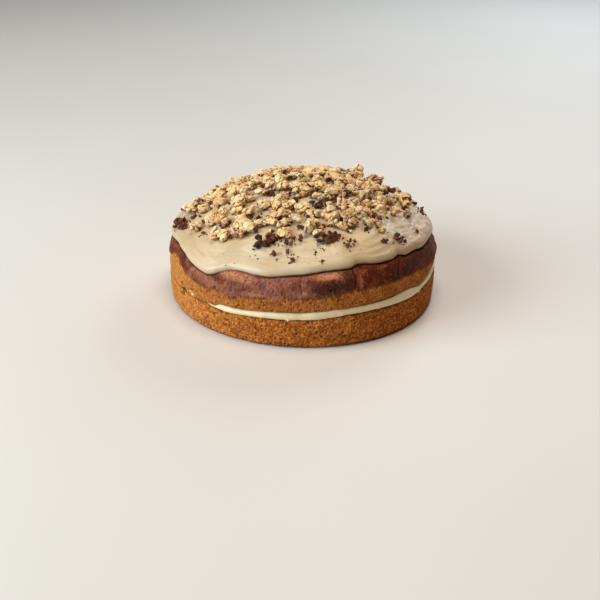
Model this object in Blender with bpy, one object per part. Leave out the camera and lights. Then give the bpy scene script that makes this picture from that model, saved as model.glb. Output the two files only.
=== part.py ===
"""Toffee cake: two round sponge layers, a cream filling, thick caramel icing and chopped walnuts.

Axes: +Z up, origin at the middle of the flat base, front toward -Y. An azimuth of 0 degrees is
the front and 90 degrees is the right (+X). Lengths below are in millimetres unless they say MM.
"""

import math
import random

import bmesh
import bpy
from mathutils import Matrix, Vector

MM = 0.001
GAP = 0.3  # clearance between touching pieces

# Sizes of the whole cake
BASE_RADIUS = 99.6  # where the lower sponge stands
SIDE_RADIUS = 100.9  # widest part of both layers, a 200 mm tin
SECTORS = 80  # divisions round the cake
COARSE_SECTORS = 48

# Heights round the rim, as (azimuth, height)
LOWER_TOP = ((-180, 22.5), (-135, 21), (-90, 20), (-60, 20), (-43, 21), (-34, 20.4), (-20, 21.7),
             (0, 22.7), (20, 24.2), (40, 24.3), (60, 25.2), (90, 25.3), (135, 24))
FILLING_DEPTH = ((-180, 4.5), (-135, 3.2), (-100, 1.4), (-60, 1.1), (-46, 1.2), (-38, 3.0), (-33, 4.5),
                 (-25, 3.9), (-12, 5.3), (0, 5.6), (20, 6.2), (35, 6.8), (45, 7.9), (57, 6.4), (90, 5.5),
                 (135, 5))
FILLING_INSET = ((-180, 0.8), (-135, 1.5), (-110, 3.2), (-60, 3.2), (-46, 2.6), (-38, 0.6), (-25, 0),
                 (0, -0.3), (45, -0.4), (90, 0), (135, 0.4))
ICING_EDGE = ((-180, 50), (-150, 46), (-120, 48.5), (-90, 45.5), (-72, 46.3), (-60, 45), (-50, 43),
              (-45, 42), (-40, 44), (-35, 48), (-29, 50), (-23, 49.8), (-18, 49.6), (-10, 51.4),
              (0, 52.8), (12, 54.2), (18, 54.4), (24, 56), (32, 55.6), (42, 54.6), (56, 53.6), (75, 51),
              (90, 49), (120, 51.5), (150, 47.5))
HEAP_RADIUS = ((-180, 82), (-120, 82), (-90, 84), (-65, 88), (-50, 84), (-37, 80), (-28, 71), (-20, 69),
               (-10, 72), (5, 71), (14, 70), (24, 69), (45, 78), (60, 81), (75, 84), (90, 87), (120, 86),
               (150, 83))

# Upper sponge from its lower rim to the middle of its top, as (inset from the side, height)
SHOULDER = ((0.2, 32), (0.0, 36), (0.6, 40), (1.7, 43.2), (3.6, 46.2), (6.3, 48.8), (10, 51),
            (16, 53.6), (23, 56.4), (32, 59.9), (44, 64.6), (58, 69.6), (74, 74.2), (90, 77.4))
SPONGE_PEAK = 78.6
TOP_SLOPE = 0.025  # the upper layer sits higher on its right side
SLOPE_FROM, SLOPE_FULL = 22, 38  # heights between which that slope sets in
FRONT_RISE = 2.4  # the front shoulder is fuller
RIGHT_TUCK = 1.6  # the right shoulder is rounder
LOWER_MIDDLE = 22.4  # height of the lower sponge at its middle
FILLING_MIDDLE = 4.6  # depth of the filling there

ICING_THICKNESS = 6.6
ICING_LIP = 4.6  # thickness near the hanging edge
LIP_WIDTH = 5.2  # length of the rounded end

CORE_THICKNESS = 2.4
WALNUT_COUNT = 112
WALNUT_LENGTH = (8.5, 15.5)
WALNUT_SEED = 11

# Dark cake crumbs on the icing, as (azimuth, distance from the middle, size)
CRUMBS = ((-79, 91, 8), (-71, 89, 4.5), (-121, 87, 5.5), (-20, 78.5, 9.5), (-14, 74, 5), (-6, 76, 5.5),
          (-8, 82, 4.3), (-13, 86, 4.7), (-4, 87, 4.3), (7, 76, 6.5), (13.5, 78, 9), (19.5, 75, 6),
          (23, 80, 4.5), (44, 83, 6), (53, 84.5, 8), (96, 90.5, 5.5), (68, 88.5, 3.6))
CRUMB_SEED = 5


def around(pairs, azimuth):
    """A smooth value round the cake from (azimuth, value) pairs."""
    angles = [pair[0] for pair in pairs]
    values = [pair[1] for pair in pairs]
    count = len(pairs)
    azimuth = (azimuth + 180.0) % 360.0 - 180.0
    last = max(i for i in range(count) if angles[i] <= azimuth)
    start = angles[last]
    end = angles[last + 1] if last + 1 < count else angles[0] + 360.0
    t = (azimuth - start) / (end - start)
    t = t * t * (3 - 2 * t)
    return values[last] * (1 - t) + values[(last + 1) % count] * t


def smooth(low, high, value):
    t = min(1.0, max(0.0, (value - low) / (high - low)))
    return t * t * (3 - 2 * t)


def side_radius(azimuth):
    """The cake isn't quite round."""
    a = math.radians(azimuth)
    return SIDE_RADIUS + 0.45 * math.cos(2 * a) + 0.3 * math.cos(3 * a - 1.0) - 0.25 * math.sin(a)


def point(azimuth, radius, height):
    a = math.radians(azimuth)
    return Vector((radius * math.sin(a), -radius * math.cos(a), height))


def filling_top(azimuth):
    return around(LOWER_TOP, azimuth) + GAP + around(FILLING_DEPTH, azimuth)


def inner_height(rim, middle, radius):
    """Height inside the cake, from the rim's to the middle's."""
    return middle + (rim - middle) * min(1.0, radius / SIDE_RADIUS)


def lower_height(azimuth, radius):
    return inner_height(around(LOWER_TOP, azimuth), LOWER_MIDDLE, radius)


def shoulder_point(azimuth, place):
    """A point on the upper sponge's outside. Place runs from 0 at the first pair to 1 at the peak."""
    side = side_radius(azimuth)
    right = max(0.0, math.sin(math.radians(azimuth)))
    pairs = [(side - inset, height) for inset, height in SHOULDER] + [(0.0, SPONGE_PEAK)]
    where = min(place, 0.999999) * (len(pairs) - 1)
    i = int(where)
    t = where - i
    before = (2 * pairs[0][0] - pairs[1][0], 2 * pairs[0][1] - pairs[1][1])
    if i > 0:
        before = pairs[i - 1]
    after = pairs[i + 2] if i + 2 < len(pairs) else (-pairs[-2][0], pairs[-2][1])
    spots = (before, pairs[i], pairs[i + 1], after)
    radius, height = (
        0.5 * (2 * b + (c - a) * t + (2 * a - 5 * b + 4 * c - d) * t * t + (3 * b - a - 3 * c + d) * t ** 3)
        for a, b, c, d in zip(*spots)
    )
    front = max(0.0, math.cos(math.radians(azimuth)))
    height += FRONT_RISE * front * smooth(40, 50, height) * smooth(76, 60, height)
    radius -= RIGHT_TUCK * right * smooth(36, 42, height) * smooth(70, 48, height)
    spot = point(azimuth, radius, height)
    spot.z += TOP_SLOPE * spot.x * smooth(SLOPE_FROM, SLOPE_FULL, height)
    return spot


def shoulder_normal(azimuth, place):
    along = shoulder_point(azimuth, min(0.9999, place + 0.002)) - shoulder_point(azimuth, place - 0.002)
    a = math.radians(azimuth)
    round_it = Vector((math.cos(a), math.sin(a), 0))
    return round_it.cross(along).normalized()


def place_at_height(azimuth, height):
    """The place on the shoulder at this height."""
    low, high = 0.0, 1.0
    for _ in range(18):
        middle = (low + high) / 2
        if shoulder_point(azimuth, middle).z < height:
            low = middle
        else:
            high = middle
    return low


def crust_relief(azimuth, place, edge):
    """Wrinkles and upright creases in the browned side, none under the icing."""
    shown = smooth(edge - 0.035, edge - 0.09, place)
    a = math.radians(azimuth)
    waves = 0.28 * math.sin(17 * a + 40 * place) + 0.22 * math.sin(29 * a - 63 * place + 1.0)
    creases = 0.0
    for centre, depth in ((1, 0.9), (20, 1.0), (43, 0.9), (-31, -0.6), (-52, 0.7), (118, 0.9), (-150, 0.9)):
        away = (azimuth - centre + 180) % 360 - 180
        creases -= depth * math.exp(-(away / 3.2) ** 2) * smooth(0.02, 0.12, place)
    return (waves + creases) * shown


def icing_top(azimuth, place):
    """A point on the icing's outer face above this place on the sponge."""
    edge = place_at_height(azimuth, around(ICING_EDGE, azimuth))
    root = shoulder_point(azimuth, place)
    tip = shoulder_point(azimuth, edge)
    away = (root - tip).length
    a = math.radians(azimuth)
    body = ICING_LIP + (ICING_THICKNESS - ICING_LIP) * smooth(4, 26, away)
    body += 0.35 * math.sin(5 * a + 9 * place) * smooth(4, 18, away) * smooth(1.0, 0.8, place)
    end = min(1.0, away / LIP_WIDTH)
    thick = body * math.sqrt(max(0.0, 1 - (1 - end) ** 2))
    return root + shoulder_normal(azimuth, place) * (GAP + 0.15 + thick)


def icing_height(x, y):
    """The icing's outer height at a point well inside the rim, and the slope's normal there."""
    radius = math.hypot(x, y)
    azimuth = math.degrees(math.atan2(x, -y))
    low, high = 0.2, 0.99999
    for _ in range(16):
        middle = (low + high) / 2
        spot = icing_top(azimuth, middle)
        if math.hypot(spot.x, spot.y) > radius:
            low = middle
        else:
            high = middle
    return icing_top(azimuth, low).z


def loft(name, rings, bottom, top, material):
    """One closed body from rings of points, closed by a fan at either end."""
    mesh = bmesh.new()
    rows = [[mesh.verts.new(spot * MM) for spot in ring] for ring in rings]
    first = mesh.verts.new(bottom * MM)
    last = mesh.verts.new(top * MM)
    count = len(rows[0])
    for i in range(count):
        j = (i + 1) % count
        mesh.faces.new((first, rows[0][j], rows[0][i]))
        mesh.faces.new((last, rows[-1][i], rows[-1][j]))
        for under, over in zip(rows, rows[1:]):
            mesh.faces.new((under[i], under[j], over[j], over[i]))
    bmesh.ops.recalc_face_normals(mesh, faces=mesh.faces)
    data = bpy.data.meshes.new(name)
    mesh.to_mesh(data)
    mesh.free()
    item = bpy.data.objects.new(name, data)
    bpy.context.scene.collection.objects.link(item)
    data.materials.append(material)
    return item


def smooth_shade(item, degrees):
    bpy.ops.object.select_all(action="DESELECT")
    bpy.context.view_layer.objects.active = item
    item.select_set(True)
    bpy.ops.object.shade_smooth()
    item.data.set_sharp_from_angle(angle=math.radians(degrees))


def material_of(name, colour, roughness):
    material = bpy.data.materials.new(name)
    material.use_nodes = True
    shader = material.node_tree.nodes["Principled BSDF"]
    shader.inputs["Base Color"].default_value = (*colour, 1)
    shader.inputs["Roughness"].default_value = roughness
    shader.inputs["Metallic"].default_value = 0
    return material


def azimuths(count):
    return [360.0 * i / count - 180.0 for i in range(count)]


def lower_sponge(material):
    angles = azimuths(SECTORS)
    side = ((-2.6, 0.0, 0), (-1.4, 1.2, 0), (0.0, 4.5, 0), (0.5, 9.5, 0), (0.4, 14.5, 0), (-0.1, -2.4, 1),
            (-1.0, -0.7, 1), (-2.4, 0.0, 1))
    rings = [[point(a, BASE_RADIUS * 0.5, 0) for a in angles]]
    for out, height, from_top in side:
        ring = []
        for a in angles:
            base = side_radius(a) + out
            if height == 0.0 and not from_top:
                base = BASE_RADIUS
            ring.append(point(a, base, height + from_top * around(LOWER_TOP, a)))
        rings.append(ring)
    for radius in (70, 30):
        rings.append([point(a, radius, lower_height(a, radius)) for a in angles])
    return loft("lower_sponge", rings, Vector((0, 0, 0)), Vector((0, 0, LOWER_MIDDLE)), material)


def cream_filling(material):
    angles = azimuths(SECTORS)
    low_middle = LOWER_MIDDLE + GAP
    high_middle = low_middle + FILLING_MIDDLE
    rings = []
    for radius in (30, 70):
        rings.append([point(a, radius, lower_height(a, radius) + GAP) for a in angles])
    for share, inset in ((0.0, 1.2), (0.18, 0.3), (0.5, 0.0), (0.82, 0.3), (1.0, 1.2)):
        ring = []
        for a in angles:
            radius = side_radius(a) - 0.4 - inset - around(FILLING_INSET, a)
            low = lower_height(a, radius) + GAP
            ring.append(point(a, radius, low + share * around(FILLING_DEPTH, a)))
        rings.append(ring)
    for radius in (70, 30):
        rings.append([point(a, radius, inner_height(filling_top(a), high_middle, radius)) for a in angles])
    return loft("cream_filling", rings, Vector((0, 0, low_middle)), Vector((0, 0, high_middle)), material)


def upper_sponge(material):
    angles = azimuths(SECTORS)
    middle = LOWER_MIDDLE + 2 * GAP + FILLING_MIDDLE
    rings = []
    for radius in (30, 70):
        rings.append([point(a, radius, inner_height(filling_top(a) + GAP, middle, radius)) for a in angles])
    edges = [place_at_height(a, around(ICING_EDGE, a)) for a in angles]
    for inset, rise in ((2.2, 0.0), (0.9, 0.7), (0.35, 2.2)):
        rings.append([point(a, side_radius(a) - inset, filling_top(a) + GAP + rise) for a in angles])
    for k in (0.7, 1.4, 2, 2.6, 3.3, 4, 4.6, 5.2, 5.9, 6.8, 8.2, 10, 12):
        place = k / len(SHOULDER)
        ring = []
        for a, edge in zip(angles, edges):
            spot = shoulder_point(a, place)
            ring.append(spot + shoulder_normal(a, place) * crust_relief(a, place, edge))
        rings.append(ring)
    return loft("upper_sponge", rings, Vector((0, 0, middle)), shoulder_point(0, 1.0), material)


def icing(material):
    angles = azimuths(SECTORS)
    edges = [place_at_height(a, around(ICING_EDGE, a)) for a in angles]
    under, over = [], []
    shares = (0.0, 0.05, 0.12, 0.22, 0.34, 0.46, 0.59, 0.73, 0.87)
    for share in shares:
        ring = []
        for a, edge in zip(angles, edges):
            place = edge + (1 - edge) * share
            ring.append(shoulder_point(a, place) + shoulder_normal(a, place) * (GAP + 0.12))
        under.append(ring)
    for share in (0.006, 0.018, 0.04, 0.07, 0.11, 0.17, 0.25, 0.36, 0.5, 0.67, 0.84):
        over.append([icing_top(a, edge + (1 - edge) * share) for a, edge in zip(angles, edges)])
    bottom = shoulder_point(0, 1.0) + Vector((0, 0, GAP + 0.12))
    top = shoulder_point(0, 1.0) + Vector((0, 0, GAP + 0.15 + ICING_THICKNESS))
    return loft("icing", under[::-1] + over, bottom, top, material)


def chunk(name, centre, normal, turn, half, points, rng, jitter):
    """A small angular lump: the hull of points spread over an ellipsoid with a flattened foot."""
    spots = []
    golden = math.pi * (3 - math.sqrt(5))
    for i in range(points):
        z = 1 - 2 * (i + 0.5) / points
        r = math.sqrt(1 - z * z)
        a = golden * i
        swell = 1 - jitter * rng.random()
        spots.append(Vector((half[0] * r * math.cos(a), half[1] * r * math.sin(a), half[2] * z)) * swell)
    turned = normal.to_track_quat("Z", "Y").to_matrix() @ Matrix.Rotation(turn, 3, "Z")
    mesh = bmesh.new()
    for spot in spots:
        spot.z = max(spot.z, -0.62 * half[2])
        mesh.verts.new((centre + turned @ spot) * MM)
    hull = bmesh.ops.convex_hull(mesh, input=mesh.verts)
    spare = [v for v in mesh.verts if not v.link_faces]
    bmesh.ops.delete(mesh, geom=spare, context="VERTS")
    bmesh.ops.triangulate(mesh, faces=mesh.faces)
    bmesh.ops.recalc_face_normals(mesh, faces=mesh.faces)
    data = bpy.data.meshes.new(name)
    mesh.to_mesh(data)
    mesh.free()
    item = bpy.data.objects.new(name, data)
    return item


def surface_at(x, y):
    """The icing's height and outward direction at x, y."""
    height = icing_height(x, y)
    step = 3.0
    across = (icing_height(x + step, y) - icing_height(x - step, y)) / (2 * step)
    along = (icing_height(x, y + step) - icing_height(x, y - step)) / (2 * step)
    return height, Vector((-across, -along, 1)).normalized()


def fuse(base, pieces, solver):
    """The base with every piece joined on by one union."""
    group = bpy.data.collections.new(base.name + "_pieces")
    bpy.context.scene.collection.children.link(group)
    for piece in pieces:
        group.objects.link(piece)
        piece.hide_render = True
        piece.display_type = "WIRE"
    join = base.modifiers.new("join", "BOOLEAN")
    join.operation = "UNION"
    join.operand_type = "COLLECTION"
    join.collection = group
    join.solver = solver
    bpy.ops.object.select_all(action="DESELECT")
    bpy.context.view_layer.objects.active = base
    base.select_set(True)
    bpy.ops.object.modifier_apply(modifier=join.name)
    for piece in pieces:
        bpy.data.objects.remove(piece)
    bpy.data.collections.remove(group)


def crumb_places():
    return [(point(azimuth, radius, 0), size) for azimuth, radius, size in CRUMBS]


def dark_crumbs():
    rng = random.Random(CRUMB_SEED)
    pieces = []
    for number, (spot, size) in enumerate(crumb_places()):
        height, normal = surface_at(spot.x, spot.y)
        half = (size * 0.5, size * 0.42, size * 0.38)
        centre = Vector((spot.x, spot.y, height)) + normal * (0.62 * half[2] - 0.9)
        turn = rng.uniform(0, math.tau)
        pieces.append(chunk(f"crumb_{number}", centre, normal, turn, half, 12, rng, 0.2))
    return pieces


def walnut_places(rng):
    """Where each piece lies: (x, y, length), spread so that few of them cross."""
    crumbs = crumb_places()
    found = []
    tries = 0
    while len(found) < WALNUT_COUNT and tries < 6000:
        tries += 1
        azimuth = rng.uniform(-180, 180)
        length = rng.uniform(*WALNUT_LENGTH)
        reach = around(HEAP_RADIUS, azimuth) - 5.0
        radius = reach * math.sqrt(rng.random())
        spot = point(azimuth, radius, 0)
        if any((spot - other).length < 0.4 * (length + size) for other, size in found):
            continue
        if any((spot - other).length < 0.5 * (length + size) + 0.8 for other, size in crumbs):
            continue
        found.append((spot, length))
    return found


def walnut_topping(material):
    angles = azimuths(COARSE_SECTORS)
    under, over = [], []
    lift = GAP + 0.15
    for share in (0.2, 0.4, 0.6, 0.8, 0.95, 1.0):
        low, high = [], []
        for a in angles:
            radius = (around(HEAP_RADIUS, a) - 4.0) * share
            spot = point(a, radius, 0)
            height, normal = surface_at(spot.x, spot.y)
            low.append(Vector((spot.x, spot.y, height)) + normal * lift)
            high.append(low[-1] + normal * CORE_THICKNESS * (1 if share < 0.9 else 0.8))
        under.append(low)
        if share in (0.4, 0.8, 0.95):
            over.append(high)
    peak, _ = surface_at(0, 0)
    core = loft("walnut_topping", under + over[::-1], Vector((0, 0, peak + lift)),
                Vector((0, 0, peak + lift + CORE_THICKNESS)), material)
    rng = random.Random(WALNUT_SEED)
    pieces = []
    for number, (spot, length) in enumerate(walnut_places(rng)):
        height, normal = surface_at(spot.x, spot.y)
        tall = rng.uniform(0.62, 0.92) if rng.random() < 0.75 else 1.1
        upright = max(3.0, min(length * 0.5 * tall, 5.4))
        half = (length * 0.5, length * rng.uniform(0.36, 0.46), upright)
        centre = Vector((spot.x, spot.y, height)) + normal * (GAP + 1.0 + 0.62 * half[2])
        turn = rng.uniform(0, math.tau)
        pieces.append(chunk(f"walnut_{number}", centre, normal, turn, half, 10, rng, 0.16))
    fuse(core, pieces, "MANIFOLD")
    return core


def build():
    for item in list(bpy.data.objects):
        bpy.data.objects.remove(item)
    sponge = material_of("sponge", (0.33, 0.115, 0.03), 0.85)
    crust = material_of("crust", (0.20, 0.065, 0.032), 0.75)
    filling = material_of("filling", (0.66, 0.50, 0.29), 0.55)
    caramel = material_of("caramel_icing", (0.66, 0.50, 0.32), 0.45)
    nuts = material_of("walnut", (0.62, 0.42, 0.20), 0.6)
    smooth_shade(lower_sponge(sponge), 50)
    smooth_shade(cream_filling(filling), 60)
    smooth_shade(upper_sponge(crust), 50)
    topping = icing(caramel)
    fuse(topping, dark_crumbs(), "MANIFOLD")
    smooth_shade(topping, 40)
    smooth_shade(walnut_topping(nuts), 20)


build()
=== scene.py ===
"""Toffee cake, dressed: sponge crumb, browned crust, cream filling, caramel icing, walnuts and crumbs.

Lengths in the shape functions are in millimetres and are turned to metres when a mesh is written.
An azimuth of 0 degrees is the front (-Y), 90 degrees is the right (+X).
"""

import math
import random

import bmesh
import bpy
import numpy as np
from mathutils import Euler, Matrix, Vector
from mathutils.bvhtree import BVHTree


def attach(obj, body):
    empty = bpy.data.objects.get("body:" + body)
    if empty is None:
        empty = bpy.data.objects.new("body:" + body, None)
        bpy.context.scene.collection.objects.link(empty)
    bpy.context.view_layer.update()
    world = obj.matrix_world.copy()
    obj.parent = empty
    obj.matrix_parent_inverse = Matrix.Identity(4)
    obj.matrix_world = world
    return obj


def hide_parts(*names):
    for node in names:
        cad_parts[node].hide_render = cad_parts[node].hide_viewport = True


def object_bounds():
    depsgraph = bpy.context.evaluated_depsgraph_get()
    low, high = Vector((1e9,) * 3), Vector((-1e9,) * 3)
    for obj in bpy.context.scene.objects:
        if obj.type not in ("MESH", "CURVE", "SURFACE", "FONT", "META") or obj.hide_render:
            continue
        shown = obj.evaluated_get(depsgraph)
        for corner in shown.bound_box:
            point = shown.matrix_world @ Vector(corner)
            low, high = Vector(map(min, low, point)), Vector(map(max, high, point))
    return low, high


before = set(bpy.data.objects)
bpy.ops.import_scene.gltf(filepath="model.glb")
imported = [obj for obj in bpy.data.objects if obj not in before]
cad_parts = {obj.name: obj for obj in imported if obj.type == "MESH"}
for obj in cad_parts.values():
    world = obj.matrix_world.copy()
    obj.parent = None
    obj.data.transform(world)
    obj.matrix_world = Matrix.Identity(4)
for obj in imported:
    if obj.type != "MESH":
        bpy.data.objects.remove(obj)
cad_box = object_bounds()

MM = 0.001
SEED = 7

# ---------------------------------------------------------------- sizes

SIDE_RADIUS = 100.9
BASE_RADIUS = 99.6
# The side wall fades in between these distances from the middle
RIM_START, WALL_START, WALL_FULL = 92, 94, 98
GAP = 0.3
LOWER_MIDDLE = 22.4
FILLING_MIDDLE = 4.6
FILLING_FLAT = 60
SPONGE_PEAK = 78.6
TOP_SLOPE = 0.025
SLOPE_FROM, SLOPE_FULL = 22, 38
FRONT_RISE = 2.4
RIGHT_TUCK = 1.6
LOWEST_PLACE = -0.25
BOX_MARGIN = 0.03
ICING_THICKNESS = 6.6
ICING_LIP = 3.7
LIP_WIDTH = 4.0
ICING_REACH = 97
# Azimuths of the side given painted light, of the seam that is closed, and of the icing's rough corner
PAINTED_LIGHT_SIDE, CLOSED_SIDE, ROUGH_CORNER = -68, -70, 74
SPONGE_SECTORS = 1200

# Height of the lower layer's rim, and depth of the cream at the rim, as (azimuth, millimetres)
LOWER_TOP = (
    (-180, 22.5), (-135, 21), (-90, 20), (-60, 19.8), (-43, 19.8), (-34, 18.9), (-20, 20.4), (0, 21.5),
    (8, 22.3), (16, 23.7), (22, 24.1), (30, 24.0), (40, 23.4), (50, 23.2), (63, 23.6), (90, 25), (135, 24),
)
FILLING_DEPTH = (
    (-180, 4.5), (-135, 3.2), (-100, 0.6), (-60, 0.3), (-42, 0.4), (-38, 1.0), (-36, 3.2), (-33, 3.9),
    (-25, 3.5), (-12, 4.8), (0, 5.0), (8, 5.2), (16, 4.7), (22, 4.8), (30, 5.3), (37, 5.7), (45, 7.2),
    (50, 6.8), (57, 4.6), (65, 5.1), (90, 5.0), (135, 5),
)
# How far the cream lies in from the side, as (azimuth, millimetres)
FILLING_INSET = (
    (-180, 0.8), (-135, 1.5), (-110, 3.2), (-60, 3.2), (-46, 2.6), (-38, 0.6), (-25, 0), (0, -0.2),
    (45, -0.3), (90, 0), (135, 0.4),
)
# Drops of cream that ran over the lower sponge, as (azimuth, half width in degrees, length)
CREAM_DROPS = ((-5.5, 0.5, 0.9), (57, 0.7, 0.5), (-168, 1.2, 1.6), (128, 1.0, 1.2))
# Height of the icing's hanging edge, as (azimuth, millimetres)
ICING_EDGE = (
    (-180, 50), (-150, 46), (-120, 47), (-98, 44), (-85, 44), (-76, 46), (-70.5, 46.8), (-65.5, 46.5),
    (-60, 46.2), (-55, 45), (-50, 44), (-45.5, 43.2), (-42, 42.9), (-39, 44.2), (-35, 47.3), (-30, 49.8),
    (-25, 50.2), (-20, 50), (-15, 50.1), (-10, 50.9), (-5, 51.9), (0, 52.5), (5, 53.2), (10, 53.9),
    (17, 54.1), (21, 54.3), (25, 55.2), (28, 55), (33, 54.1), (38, 53.8), (43, 53.7), (47, 54.2),
    (52, 52.8), (58, 52.7), (65, 51.2), (75, 50.7), (90, 49), (120, 51.5), (150, 47.5),
)
# How much thicker the icing is on the shoulder, as (azimuth, millimetres)
ICING_BULGE = (
    (-180, 0.3), (-145, 0.2), (-122, 0.8), (-100, 2.3), (-80, 2.2), (-62, 0.9), (-45, 0.2), (0, 0),
    (45, 0.2), (62, 0.9), (78, 2.6), (95, 2.6), (112, 1.0), (130, 0.2),
)
# How much browner the icing's rim is, as (azimuth, amount)
ICING_TAN = (
    (-180, 0), (-115, 0.15), (-85, 0.42), (-62, 0.34), (-45, 0.14), (-22, 0.02), (12, 0.06), (26, 0.34),
    (42, 0.5), (62, 0.7), (82, 0.45), (120, 0.05),
)
# How far the icing's edge stands off the crust, and how strong the painted shade in the gap below it is, as
# (azimuth, amount)
ICING_LIFT = (
    (-180, 0.6), (-130, 0.3), (-90, 0.5), (-60, 0.5), (-46, 0.9), (-37, 0.9), (-34, 0.1), (-24, 0.0),
    (-18, 0.7), (0, 0.8), (20, 0.9), (40, 1.0), (70, 1.0), (110, 0.6), (150, 0.8),
)
# Height where the golden side turns to crust, as (azimuth, millimetres)
CRUST_LINE = (
    (-180, 36), (-150, 39), (-120, 34), (-95, 28), (-80, 34), (-68, 41), (-58, 36.5), (-46, 32.6),
    (-37, 34.6), (-30, 32.4), (-20, 35.8), (-8, 37), (3, 38), (12, 38.4), (19, 41.8), (28, 41), (42, 42),
    (55, 40.6), (70, 39), (90, 37), (130, 40),
)
# Upper sponge from its lower rim to its peak, as (inset from the side, height)
SHOULDER = (
    (0.2, 32), (0.0, 36), (0.6, 40), (1.7, 43.2), (3.6, 46.2), (6.3, 48.8), (10, 51), (16, 53.6),
    (23, 56.4), (32, 59.9), (44, 64.6), (58, 69.6), (74, 74.2), (90, 77.4),
)
# Upright creases in the crust, as (azimuth, depth, width in degrees, lean in degrees a millimetre)
CREASES = (
    (-0.5, 0.4, 0.4, 0.0), (21.3, 0.55, 0.5, 0.05), (42.3, 0.65, 0.35, 0.55), (-52, 0.2, 1.2, 0.2),
    (-68, 0.2, 1.5, 0.3), (31, 0.2, 1.0, -0.1), (72, 0.3, 0.8, 0.4), (97, 0.5, 0.6, 0.2),
    (118, 0.35, 0.9, -0.2), (-112, 0.45, 0.6, -0.3), (-150, 0.5, 0.6, 0.2), (165, 0.45, 0.7, -0.2),
)
# Small torn holes in the side, as (azimuth, height, half width in degrees, half height, depth)
HOLES = (
    (-59.8, 17.4, 1.5, 2.6, 2.0), (-58.4, 20.6, 1.6, 1.5, 1.8), (-37, 36.3, 0.7, 0.8, 1.2),
    (-23, 40.2, 0.6, 0.7, 1.1), (-60, 25, 1.3, 0.8, 0.9), (-51.5, 25.4, 1.2, 0.7, 0.9),
    (14, 36.5, 0.5, 0.5, 0.8), (62, 37, 0.8, 0.7, 1.0), (104, 33, 1.5, 1.0, 1.6), (-140, 31, 1.2, 1.1, 1.5),
    (170, 34, 1.0, 0.9, 1.2),
)
# Bits of cream left on the side, as (azimuth, height, half width in degrees, half height)
CREAM_BITS = ((-51.2, 22.2, 1.1, 1.2), (-53, 23.4, 0.7, 0.5), (112, 31, 1.2, 0.8), (-150, 30, 1.0, 0.7))
# How mauve and dusty the crust is, with a painted sheen of sky light most at the front, as (azimuth, amount)
BLOOM_AND_SHEEN = (
    (-180, 0.2), (-110, 0.3), (-80, 0.0), (-60, 0.0), (-48, 0.1), (-38, 0.38), (-15, 0.95), (4, 0.5),
    (14, 0.2), (30, -0.05), (60, -0.15), (85, 0.0), (110, 0.4), (150, 0.3),
)
# Lighter and darker places on the crust, as (azimuth, height, half width in degrees, half height, amount):
# toasted and charred patches, painted highlights beside creases and painted shade over the right side
CRUST_PATCHES_AND_PAINTED_LIGHT = (
    (-30, 47.2, 9, 2.8, 0.9), (9.5, 51.2, 5.5, 1.8, 1.3), (-76, 45, 7, 4, 0.1), (8, 44.6, 4.5, 3.4, -1.5),
    (13.5, 45.2, 4, 3.6, -1.3), (19, 46, 1.8, 6, -1.0), (-3, 46, 2.2, 4, -0.5), (41.5, 46.5, 3, 5, -0.5),
    (50, 46, 6, 4, -0.7), (23.6, 47, 1.0, 5, 0.7), (44.2, 46, 0.6, 4.5, 0.9), (35, 51.8, 9, 1.1, 0.35),
    (1.2, 42.4, 0.8, 0.9, 0.8), (-46, 40, 10, 6, 0.4), (-16, 37.5, 8, 1.6, 0.5), (-24, 42, 8, 3, -0.3),
    (150, 45, 8, 4, -0.9), (-130, 44, 10, 3, 0.5), (56, 45, 20, 9, -0.6), (32, 45, 9, 6, -0.12),
)
# How far the heap of nuts reaches from the middle, as (azimuth, millimetres)
HEAP_RADIUS = (
    (-180, 82), (-120, 82), (-90, 84), (-65, 88), (-50, 84), (-37, 80), (-28, 71), (-20, 69), (-10, 72),
    (5, 71), (14, 70), (24, 69), (45, 74), (56, 70), (68, 68), (78, 72), (90, 81), (100, 86), (120, 86),
    (150, 83),
)
# How tall a scattered nut may be near the heap's rim, as (azimuth, millimetres)
HEAP_HEIGHT = (
    (-180, 8), (-155, 7), (-140, 4.5), (-122, 4), (-105, 5), (-90, 8), (85, 8), (100, 5), (112, 3.8),
    (130, 4.5), (145, 6.5), (158, 8),
)


# ---------------------------------------------------------------- shapes round the cake

def smooth(low, high, value):
    t = np.clip((np.asarray(value, float) - low) / (high - low), 0, 1)
    return t * t * (3 - 2 * t)


def knot_slope(before, after):
    """The slope at a knot that keeps a curve from overshooting, from the slopes on either side."""
    same = before * after > 0
    return np.where(same, 2 * before * after / np.where(same, before + after, 1.0), 0.0)


def curve(start, end, leaving, arriving, wide, t):
    """From start to end as t runs from 0 to 1, with these slopes at the two knots."""
    return (start * (1 + 2 * t) * (1 - t) ** 2 + leaving * wide * t * (1 - t) ** 2
            + end * t * t * (3 - 2 * t) - arriving * wide * t * t * (1 - t))


def around(pairs, azimuth):
    """A smooth value round the cake from (azimuth, value) pairs, never past the values on either side."""
    angles = np.array([pair[0] for pair in pairs] + [pairs[0][0] + 360.0], float)
    values = np.array([pair[1] for pair in pairs] + [pairs[0][1]], float)
    slopes = np.diff(values) / np.diff(angles)
    turns = knot_slope(np.roll(slopes, 1), slopes)
    turns = np.append(turns, turns[0])
    azimuth = (np.asarray(azimuth, float) + 180.0) % 360.0 - 180.0
    last = np.clip(np.searchsorted(angles, azimuth, side="right") - 1, 0, len(pairs) - 1)
    wide = angles[last + 1] - angles[last]
    t = (azimuth - angles[last]) / wide
    return curve(values[last], values[last + 1], turns[last], turns[last + 1], wide, t)


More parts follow.
